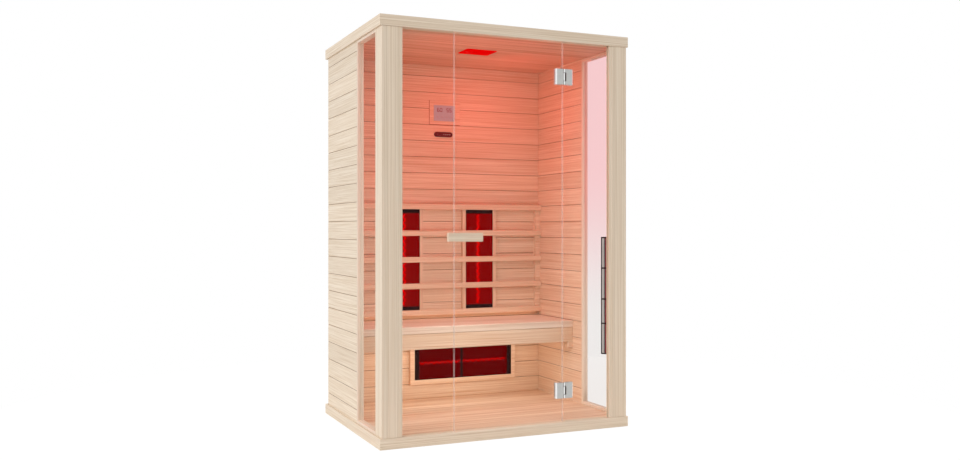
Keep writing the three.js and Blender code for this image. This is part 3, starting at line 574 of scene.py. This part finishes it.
# Extruded clear silicone: a faint milky line from the front

seal = {
    "tone": "#ffe9e2", "clear": "#fefefe", "roughness": 0.35, "shine": 0.3,
    "cloudSize": 25, "cloudDetail": 2.0, "cloudFrom": 0.3, "cloudTo": 0.7,  # the size in millimetres
    "leastMilk": 0.2, "mostMilk": 0.25,
}


def makeSeal():
    material, tree = startMaterial("extrudedSiliconeSeal")
    place = addNode(tree, "ShaderNodeTexCoord").outputs["Object"]
    cloud = addNode(tree, "ShaderNodeTexNoise",
                    {"Scale": 1000 / seal["cloudSize"], "Detail": seal["cloudDetail"]}, {"Vector": place})
    milk = addNode(tree, "ShaderNodeMapRange",
                   {"From Min": seal["cloudFrom"], "From Max": seal["cloudTo"],
                    "To Min": seal["leastMilk"], "To Max": seal["mostMilk"]}, {"Value": cloud.outputs["Fac"]})
    normal = addNode(tree, "ShaderNodeNewGeometry").outputs["True Normal"]
    lean = addNode(tree, "ShaderNodeSeparateXYZ", links={0: normal}).outputs["Y"]
    front = addNode(tree, "ShaderNodeMath", {"operation": "LESS_THAN", 1: -0.5}, {0: lean})
    share = addNode(tree, "ShaderNodeMath", {"operation": "MULTIPLY"},
                    {0: milk.outputs[0], 1: front.outputs[0]})
    body = addNode(tree, "ShaderNodeBsdfPrincipled",
                   {"Base Color": linear(seal["tone"]), "Roughness": seal["roughness"],
                    "Specular IOR Level": seal["shine"]})
    clear = addNode(tree, "ShaderNodeBsdfTransparent", {"Color": linear(seal["clear"])})
    mix = addNode(tree, "ShaderNodeMixShader",
                  links={0: share.outputs[0], 1: clear.outputs[0], 2: body.outputs[0]})
    showShader(tree, mix.outputs[0])
    return material


sealStrip = makeSeal()

# What each node of the cabin is made of

slats = [f"backrest_slat_{i}" for i in range(1, 6)]
keys = ["time_down_key", "time_up_key", "heat_down_key", "heat_up_key"]
finish = {
    sideBoards: ["left_wall_outer", "right_wall_outer"],
    rearBoards: ["back_wall_outer"],
    postWood: ["front_left_post", "front_right_post"],
    liningPaintedLightWood: ["left_window_frame", "right_window_frame"],
    railWood: ["base_frame", "roof_cap"],
    handleWood: ["outer_handle", "inner_handle"],
    roomSide: ["left_wall_inner", "right_wall_inner"],
    roomBack: ["back_wall_inner"],
    roomDeck: ["floor_panel"],
    roomCeilingPaintedShade: ["ceiling_panel"],
    seatPaintedLightWood: ["bench_seat"],
    roomRail: ["bench_apron", "bench_left_cleat", "bench_right_cleat"] + slats,
    roomStile: ["left_heater_surround", "right_heater_surround"],
    frontGlass: ["left_front_pane", "right_front_pane", "door_pane"],
    sideGlass: ["left_window_pane"],
    paintedGlowGlass: ["right_window_pane"],
    brushedSteel: [n for n in nodes if "hinge_fixed" in n or "hinge_door" in n or "hinge_pin" in n],
    sealStrip: ["latch_seal", "hinge_seal"],
    blackEnamel: ["left_heater_housing", "right_heater_housing", "lower_heater_housing",
                  "lamp_housing", "power_box"],
    blackPlastic: ["media_player"],
    backGlow: ["left_heater_glass", "right_heater_glass", "corner_heater_glass"],
    lowGlow: ["lower_heater_glass"],
    hotWire: ["left_heater_element", "right_heater_element", "lower_heater_element"],
    redDiffuser: ["lamp_lens"],
    padFilm: ["keypad_panel"],
    keyPlastic: keys,
    greyEnamel: ["corner_heater_housing"],
}
for material, names in finish.items():
    for name in names:
        mesh = nodes[name].data
        mesh.materials.clear()
        mesh.materials.append(material)

# The rear ends of the side linings show on the cabin's back
rearSkin = 0.001
for name in ("left_wall_inner", "right_wall_inner"):
    mesh = nodes[name].data
    mesh.materials.append(rearBoards)
    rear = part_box(name)[1].y - rearSkin
    for face in mesh.polygons:
        face.material_index = int(face.normal.y > 0.9 and face.center.y > rear)
print("materials on", sum(len(names) for names in finish.values()), "nodes")

# Planed edges: the bars and panels named below have their corners broken, by these widths

edgeWidths = {
    "rails": 0.0012, "posts": 0.001, "bench": 0.0022, "trim": 0.001,
    "keys": 0.0008, "pad": 0.0003, "lens": 0.0015,
}

easeEdges(["base_frame"], edgeWidths["rails"], wholeFaces=False)
easeEdges(["roof_cap"], edgeWidths["rails"])
easeEdges(["front_left_post", "front_right_post"], edgeWidths["posts"])
easeEdges(["bench_seat", "bench_apron", "outer_handle", "inner_handle"] + slats, edgeWidths["bench"], 3)
easeEdges(["bench_left_cleat", "bench_right_cleat", "left_window_frame", "right_window_frame",
           "left_heater_surround", "right_heater_surround"], edgeWidths["trim"])
easeEdges(["media_player"] + keys, edgeWidths["keys"])
easeEdges(["keypad_panel"], edgeWidths["pad"])
easeEdges(["lamp_lens"], edgeWidths["lens"])
print("edges eased")

# Side panes: each ends at its lining, and a pale bead fills the groove round it, in the linings' wood with
# its painted light

lining = {
    "stile": 0.012, "rail": 0.0137,
    "joint": 0.00005,  # hairline between bead and bead
}


def makeSidePane(side, glass):
    low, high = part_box(f"{side}_window_pane")
    frameLow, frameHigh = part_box(f"{side}_window_frame")
    front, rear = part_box(f"front_{side}_post")[1].y, frameHigh.y - lining["stile"]
    bottom, top = frameLow.z + lining["rail"], frameHigh.z - lining["rail"]
    bm = bmesh.new()
    addBar(bm, (low.x, front, bottom), (high.x, rear, top))
    makePiece(f"{side}_side_pane", bm, glass, "cabin", "clear_glass", f"{side}_window_pane")
    bm = bmesh.new()
    for yLow, yHigh in ((low.y, front), (rear, high.y)):
        addBar(bm, (low.x, yLow, low.z), (high.x, yHigh, high.z))
    for zLow, zHigh in ((low.z, bottom), (top, high.z)):
        addBar(bm, (low.x, front + lining["joint"], zLow), (high.x, rear - lining["joint"], zHigh))
    makePiece(f"{side}_glazing_bead", bm, liningPaintedLightWood, "cabin", "pale_wood")


makeSidePane("left", sideGlass)
makeSidePane("right", paintedGlowGlass)
print("side panes made")

# Heater wires: a bare coil that shows as a wave behind each heater's glass

wires = {
    "radius": 0.0012, "sides": 8, "stepsPerTurn": 18,
    "coil": 0.0068, "pitch": 0.034,  # wider than a real coil's pitch, so that the wave shows
    "endGap": 0.006,
}


def windWire(bm, middle, along):
    half = along.length / 2
    axis = along.normalized()
    coil = wires["coil"]
    side = axis.orthogonal().normalized() * coil
    first = middle - axis * half + side
    forward = axis.cross(side).normalized() * (2 * math.pi * coil) + axis * wires["pitch"]
    turn = forward.to_track_quat("Z", "Y").to_matrix().to_4x4()
    ring = bmesh.ops.create_circle(bm, cap_ends=True, segments=wires["sides"], radius=wires["radius"],
                                   matrix=Matrix.Translation(first) @ turn)["verts"]
    turns = along.length / wires["pitch"]
    steps = int(turns * wires["stepsPerTurn"])
    faces = list({face for vert in ring for face in vert.link_faces})
    bmesh.ops.spin(bm, geom=faces, cent=middle - axis * half, axis=axis, dvec=along / steps,
                   angle=2 * math.pi * turns, steps=steps, use_duplicate=False)


def makeWire(heater, axis, material):
    low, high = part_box(f"{heater}_heater_element")
    along = Vector((0, 0, 0))
    along[axis] = high[axis] - low[axis] - 2 * wires["endGap"]
    bm = bmesh.new()
    windWire(bm, (low + high) / 2, along)
    makePiece(f"{heater}_heater_wire", bm, material, "cabin", "glowing_rod", f"{heater}_heater_element")


makeWire("left", 2, hotWire)
makeWire("right", 2, hotWire)
makeWire("lower", 0, warmWire)
print("heater wires wound")

# Hinges: brushed plates with a broad polished bevel at the free end, polished knuckles and clamps,
# black washers and pads, and a pale gasket on each clamp

# The polished parts take the near-white steel: partly a painted highlight
hinge = {
    "thickness": 0.009, "bevel": 0.0065, "ease": 0.0006,
    "setback": 0.007,  # from the pin's axis to a plate
    "notch": 0.0025,  # the fixed plate's relief beside the middle knuckle
    "barrel": 0.0046, "bore": 0.0027, "barrelSides": 32, "knuckle": 0.038, "knuckleGap": 0.002,
    "neckStart": 0.00324, "neckInset": 0.0004,  # the bar that joins a knuckle to its plate
    "clamp": 0.005, "webHeight": 0.04, "webLength": 0.012,
    "webStart": {-1: 0.009, 1: 0.007},  # on the door's side and on the fixed one
    "padThickness": 0.0002, "padStart": 0.005,
    "joint": 0.00002,  # hairline between the fixed plate's three lengths, and beside a washer
}


def addBarrel(bm, x, y, low, high):
    wall = bmesh.ops.create_grid(bm, x_segments=1, y_segments=1, size=0.5)["verts"]
    size = Matrix.Diagonal((hinge["barrel"] - hinge["bore"], high - low, 1, 1))
    place = Matrix.Translation((x + (hinge["barrel"] + hinge["bore"]) / 2, y, (low + high) / 2))
    bmesh.ops.transform(bm, matrix=place @ Matrix.Rotation(math.pi / 2, 4, "X") @ size, verts=wall)
    outline = list({edge for vert in wall for edge in vert.link_edges})
    section = list({face for vert in wall for face in vert.link_faces})
    bmesh.ops.delete(bm, geom=section, context="FACES_ONLY")
    bmesh.ops.spin(bm, geom=wall + outline, cent=(x, y, 0), axis=(0, 0, 1), angle=2 * math.pi,
                   steps=hinge["barrelSides"], use_merge=True, use_duplicate=False)


def makeLeaf(level, leaf, body, side):  # side is -1 for the door's leaf and 1 for the fixed one
    low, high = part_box(f"{level}_hinge_{leaf}_leaf")
    pinLow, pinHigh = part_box(f"{level}_hinge_pin")
    x, y, z = (pinLow + pinHigh) / 2
    front, rear = y - hinge["thickness"] / 2, y + hinge["thickness"] / 2
    clampFace = high.y - hinge["clamp"]
    middle = hinge["knuckle"] / 2
    outside = middle + hinge["knuckleGap"]
    joint = hinge["joint"]
    reach = abs((high.x if side > 0 else low.x) - x)
    bm = bmesh.new()

    def addBlock(near, far, yLow, yHigh, zLow, zHigh, ease=0.0):
        ends = sorted((x + side * near, x + side * far))
        return addBar(bm, (ends[0], yLow, zLow), (ends[1], yHigh, zHigh), ease)

    lengths = [(low.z, high.z, 0)]
    knuckles = [(z - middle, z + middle)]
    washers = []
    if side > 0:
        lengths = [(low.z, z - outside, 0), (z - outside + joint, z + outside - joint, hinge["notch"]),
                   (z + outside, high.z, 0)]
        knuckles = [(z + outside, high.z), (low.z, z - outside)]
        washers = [(z - outside + joint, z - middle - joint), (z + middle + joint, z + outside - joint)]
    for zLow, zHigh, notch in lengths:
        edges = addBlock(hinge["setback"] + notch, reach, front, rear, zLow, zHigh)
        freeEnd = [edge for edge in edges
                   if all(vert.co.y < y and abs(vert.co.x - x) > reach - joint for vert in edge.verts)]
        bevelled = bmesh.ops.bevel(bm, geom=freeEnd, offset=hinge["bevel"], offset_type="OFFSET",
                                   affect="EDGES", segments=1, profile=0.5, material=-1)["faces"]
        for face in bevelled:
            face.material_index = 1
    inset = hinge["neckInset"]
    for zLow, zHigh in knuckles:
        addBlock(hinge["neckStart"], hinge["setback"], front + inset, rear - inset, zLow, zHigh)

    web = hinge["webStart"][side]
    before = set(bm.faces)
    addBlock(web, reach, clampFace, high.y, low.z, high.z, hinge["ease"])
    bm.normal_update()
    gasket = [face for face in set(bm.faces) - before if face.normal.y < -0.99]
    for zLow, zHigh in knuckles:
        addBarrel(bm, x, y, zLow, zHigh)
    paintNew(bm, before, 1)
    for face in gasket:
        face.material_index = 3

    before = set(bm.faces)
    webLow, webHigh = z - hinge["webHeight"] / 2, z + hinge["webHeight"] / 2
    addBlock(web, web + hinge["webLength"], rear, clampFace, webLow, webHigh)
    addBlock(hinge["padStart"], reach - hinge["bevel"], rear, rear + hinge["padThickness"], low.z, high.z)
    for zLow, zHigh in washers:
        addBarrel(bm, x, y, zLow, zHigh)
    paintNew(bm, before, 2)
    looks = [brushedSteel, polishedSteelPaintedHighlight, blackRubber, paleSilicone]
    makePiece(f"{level}_hinge_{leaf}_plate", bm, looks, body, "satin_steel", f"{level}_hinge_{leaf}_leaf")


for level in ("upper", "lower"):
    makeLeaf(level, "door", "door", -1)
    makeLeaf(level, "fixed", "cabin", 1)
print("hinges made")

# Corner heater: a grey case with a black frame in front, a black groove of painted shade, a maroon rear of
# painted red glow and three straps

corner = {
    "width": 0.078, "wall": 0.0025, "cap": 0.031, "ease": 0.0004,
    "bezel": 0.005, "case": 0.017, "groove": 0.021,  # depths behind the front face
    "grooveDepth": 0.0015,
    "straps": (0.154, 0.276, 0.431), "strapHeight": 0.007, "strapProud": 0.0002, "rim": 0.006,
    "joint": 0.00002,  # hairline where the bars of a frame meet
}


def makeCornerHeater():
    low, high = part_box("corner_heater_housing")
    half, wall = corner["width"] / 2, corner["wall"]
    front = ((high.x - low.x) * math.sqrt(2) - corner["width"]) / 2
    middle = Matrix.Translation(((low.x + high.x) / 2, (low.y + high.y) / 2, 0))
    bm = bmesh.new()

    def addFrame(near, far, inset, index, ease=0.0):
        before = set(bm.faces)
        yLow, yHigh = front - far, front - near
        side = half - inset
        end = side - wall - corner["joint"]
        for xLow, xHigh in ((-side, -side + wall), (side - wall, side)):
            addBar(bm, (xLow, yLow, low.z + inset), (xHigh, yHigh, high.z - inset), ease)
        for zLow, zHigh in ((low.z + inset, low.z + corner["cap"]), (high.z - corner["cap"], high.z - inset)):
            addBar(bm, (-end, yLow, zLow), (end, yHigh, zHigh), ease)
        paintNew(bm, before, index)

    addFrame(0, corner["bezel"], 0, 1, corner["ease"])
    addFrame(corner["bezel"], corner["case"], 0, 0)
    # The groove takes the black enamel: painted shade
    addFrame(corner["case"], corner["groove"], corner["grooveDepth"], 1)
    # The rear takes the maroon: painted red glow
    before = set(bm.faces)
    addBar(bm, (-half, -front, low.z), (half, front - corner["groove"], high.z), corner["ease"])
    paintNew(bm, before, 2)

    before = set(bm.faces)
    proud, rim, strap = corner["strapProud"], corner["rim"], corner["strapHeight"] / 2
    spans = [(low.z + rise - strap, low.z + rise + strap) for rise in corner["straps"]]
    spans += [(low.z - proud, low.z + rim), (high.z - rim, high.z + proud)]
    for zLow, zHigh in spans:
        for xLow, xHigh in ((-half - proud, -half + wall), (half - wall, half + proud)):
            addBar(bm, (xLow, -front, zLow), (xHigh, front - corner["bezel"], zHigh))
    paintNew(bm, before, 1)
    bmesh.ops.transform(bm, matrix=middle @ Matrix.Rotation(math.pi / 4, 4, "Z"), verts=bm.verts)
    makePiece("corner_heater_case", bm, [greyEnamel, blackEnamel, maroonEnamel], "cabin", "grey_steel",
              "corner_heater_housing")


makeCornerHeater()
print("corner heater made")

# Keypad: a wooden plate round it, a dark ring of painted shade round the plate, display films with lit
# digits, and a mark on each key

keypad = {
    "plateLow": (-0.0730, 1.5745), "plateHigh": (0.1095, 1.7080),  # X and Z of the plate's corners
    "plateProud": 0.0016, "plateGap": 0.0006, "offBoards": 0.0002,
    "shadeRingWide": 0.0028, "shadeRingNarrow": 0.0007,  # widths of the dark ring of painted shade, left and below, and right and above
    "shadowProud": 0.0006, "shadowThickness": 0.0004,
    "stile": 0.021,  # how far the boards lie behind the wall's stiles
    "displayShift": 0.028, "displayRise": 0.018, "displayWidth": 0.037, "displayHeight": 0.025,
    "recess": 0.001, "filmFront": 0.0005, "filmBack": 0.0001, "filmEase": 0.0001,
    "digits": ("60", "55"), "digitHeight": 0.019, "digitWidth": 0.0115, "digitSpacing": 0.0165,
    "digitFront": 0.0008, "digitDepth": 0.0003, "stroke": 0.0032, "strokeTrim": 0.3,
    "markSize": 0.0042, "markDepth": 0.0004, "markTaper": 0.9,
    "markLift": 0.0001,  # from a key's face out to the middle of its mark
}
litStrokes = {"0": "abcdef", "5": "acdfg", "6": "acdefg"}


def addFramePlate(bm, inner, outer, face, thickness):
    xs = [outer[0].x, inner[0].x, inner[1].x, outer[1].x]
    zs = [outer[0].z, inner[0].z, inner[1].z, outer[1].z]
    half = 1.5  # of a grid of three squares each way
    bmesh.ops.create_grid(bm, x_segments=3, y_segments=3, size=half,
                          matrix=Matrix.Rotation(math.pi / 2, 4, "X"))
    for vert in bm.verts:
        vert.co = (xs[round(vert.co.x + half)], face, zs[round(vert.co.z + half)])
    hole = [f for f in bm.faces if all(xs[0] < v.co.x < xs[3] and zs[0] < v.co.z < zs[3] for v in f.verts)]
    bmesh.ops.delete(bm, geom=hole, context="FACES")
    bmesh.ops.solidify(bm, geom=list(bm.faces), thickness=thickness)


def makeKeypadPlate(low, high):
    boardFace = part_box("back_wall_inner")[0].y + keypad["stile"]
    proud = keypad["plateProud"]
    both = Vector((1, 0, 1))
    plate = [Vector((x, 0, z)) for x, z in (keypad["plateLow"], keypad["plateHigh"])]
    inner = (low - both * keypad["plateGap"], high + both * keypad["plateGap"])
    bm = bmesh.new()
    addFramePlate(bm, inner, plate, boardFace - proud, proud - keypad["offBoards"])
    makePiece("keypad_plate", bm, roomRail, "cabin", "room_wood")
    # A dark ring round the plate, wider left and below: painted shade of the plate's edge
    outer = (plate[0] - both * keypad["shadeRingWide"], plate[1] + both * keypad["shadeRingNarrow"])
    bm = bmesh.new()
    addFramePlate(bm, plate, outer, boardFace - keypad["shadowProud"], keypad["shadowThickness"])
    makePiece("keypad_painted_shade_ring", bm, paintedShadeWood, "cabin", "room_wood")


def addDigit(bm, x, y, z, lit):  # seven strokes: a, g and d lie across, f, b, e and c stand
    halfWidth, halfHeight, stroke = keypad["digitWidth"] / 2, keypad["digitHeight"] / 2, keypad["stroke"]
    trim = stroke * keypad["strokeTrim"]
    depth = keypad["digitDepth"]
    across = {"a": halfHeight, "g": 0.0, "d": -halfHeight}
    upright = {"f": (-halfWidth, 1), "b": (halfWidth, 1), "e": (-halfWidth, -1), "c": (halfWidth, -1)}
    for letter in lit:
        if letter in across:
            low = (x - halfWidth + trim, y, z + across[letter] - stroke / 2)
            high = (x + halfWidth - trim, y + depth, z + across[letter] + stroke / 2)
        else:
            column, part = upright[letter]
            ends = sorted((trim * part, (halfHeight - trim) * part))
            low = (x + column - stroke / 2, y, z + ends[0])
            high = (x + column + stroke / 2, y + depth, z + ends[1])
        edges = addBar(bm, low, high)
        corners = [edge for edge in edges if abs(edge.verts[0].co.y - edge.verts[1].co.y) > depth / 2]
        bmesh.ops.bevel(bm, geom=corners, offset=trim, offset_type="OFFSET", affect="EDGES", segments=1,
                        profile=0.5, material=-1)


def makeDisplays(low, high):
    middle = (low + high) / 2
    recess = low.y + keypad["recess"]
    films, lights = bmesh.new(), bmesh.new()
    for side, number in zip((-1, 1), keypad["digits"]):
        x = middle.x + side * keypad["displayShift"]
        z = middle.z + keypad["displayRise"]
        halfWidth, halfHeight = keypad["displayWidth"] / 2, keypad["displayHeight"] / 2
        addBar(films, (x - halfWidth, recess - keypad["filmFront"], z - halfHeight),
               (x + halfWidth, recess - keypad["filmBack"], z + halfHeight), keypad["filmEase"], 1)
        for place, digit in zip((-0.5, 0.5), number):
            addDigit(lights, x + place * keypad["digitSpacing"], recess - keypad["digitFront"], z,
                     litStrokes[digit])
    makePiece("display_films", films, displayFilm, "cabin", "pad_plastic")
    makePiece("display_digits", lights, litDigit, "cabin", "glowing_rod")


def makeMark(key):  # a triangle that points up or down and goes in with its key
    low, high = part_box(key)
    middle = (low + high) / 2
    place = Matrix.Translation((middle.x, low.y - keypad["markLift"], middle.z))
    turn = Matrix.Rotation(math.pi / 2, 4, "X") @ Matrix.Rotation(0 if "up" in key else math.pi, 4, "Z")
    bm = bmesh.new()
    bmesh.ops.create_cone(bm, cap_ends=True, segments=3, radius1=keypad["markSize"],
                          radius2=keypad["markSize"] * keypad["markTaper"], depth=keypad["markDepth"],
                          matrix=place @ turn)
    makePiece(key.replace("_key", "_mark"), bm, palePlastic, key.replace("_key", ""), "key_plastic")


makeKeypadPlate(*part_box("keypad_panel"))
makeDisplays(*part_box("keypad_panel"))
for key in keys:
    makeMark(key)
print("keypad made")

# Media player: four small buttons on its face

player = {
    "buttons": (0.002, 0.014, 0.026, 0.038),  # from the player's middle to each button
    "radius": 0.0028, "height": 0.0012, "ease": 0.0003, "sides": 24,
    "lift": 0.0003,  # from the player's face out to the middle of a button
}


def makePlayer():
    low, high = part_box("media_player")
    middle = (low + high) / 2
    bm = bmesh.new()
    for shift in player["buttons"]:
        place = (middle.x + shift, low.y - player["lift"], middle.z)
        addDisc(bm, place, player["radius"], player["height"], player["ease"], player["sides"])
    makePiece("player_buttons", bm, palePlastic, "cabin", "key_plastic")


makePlayer()
print("player made")
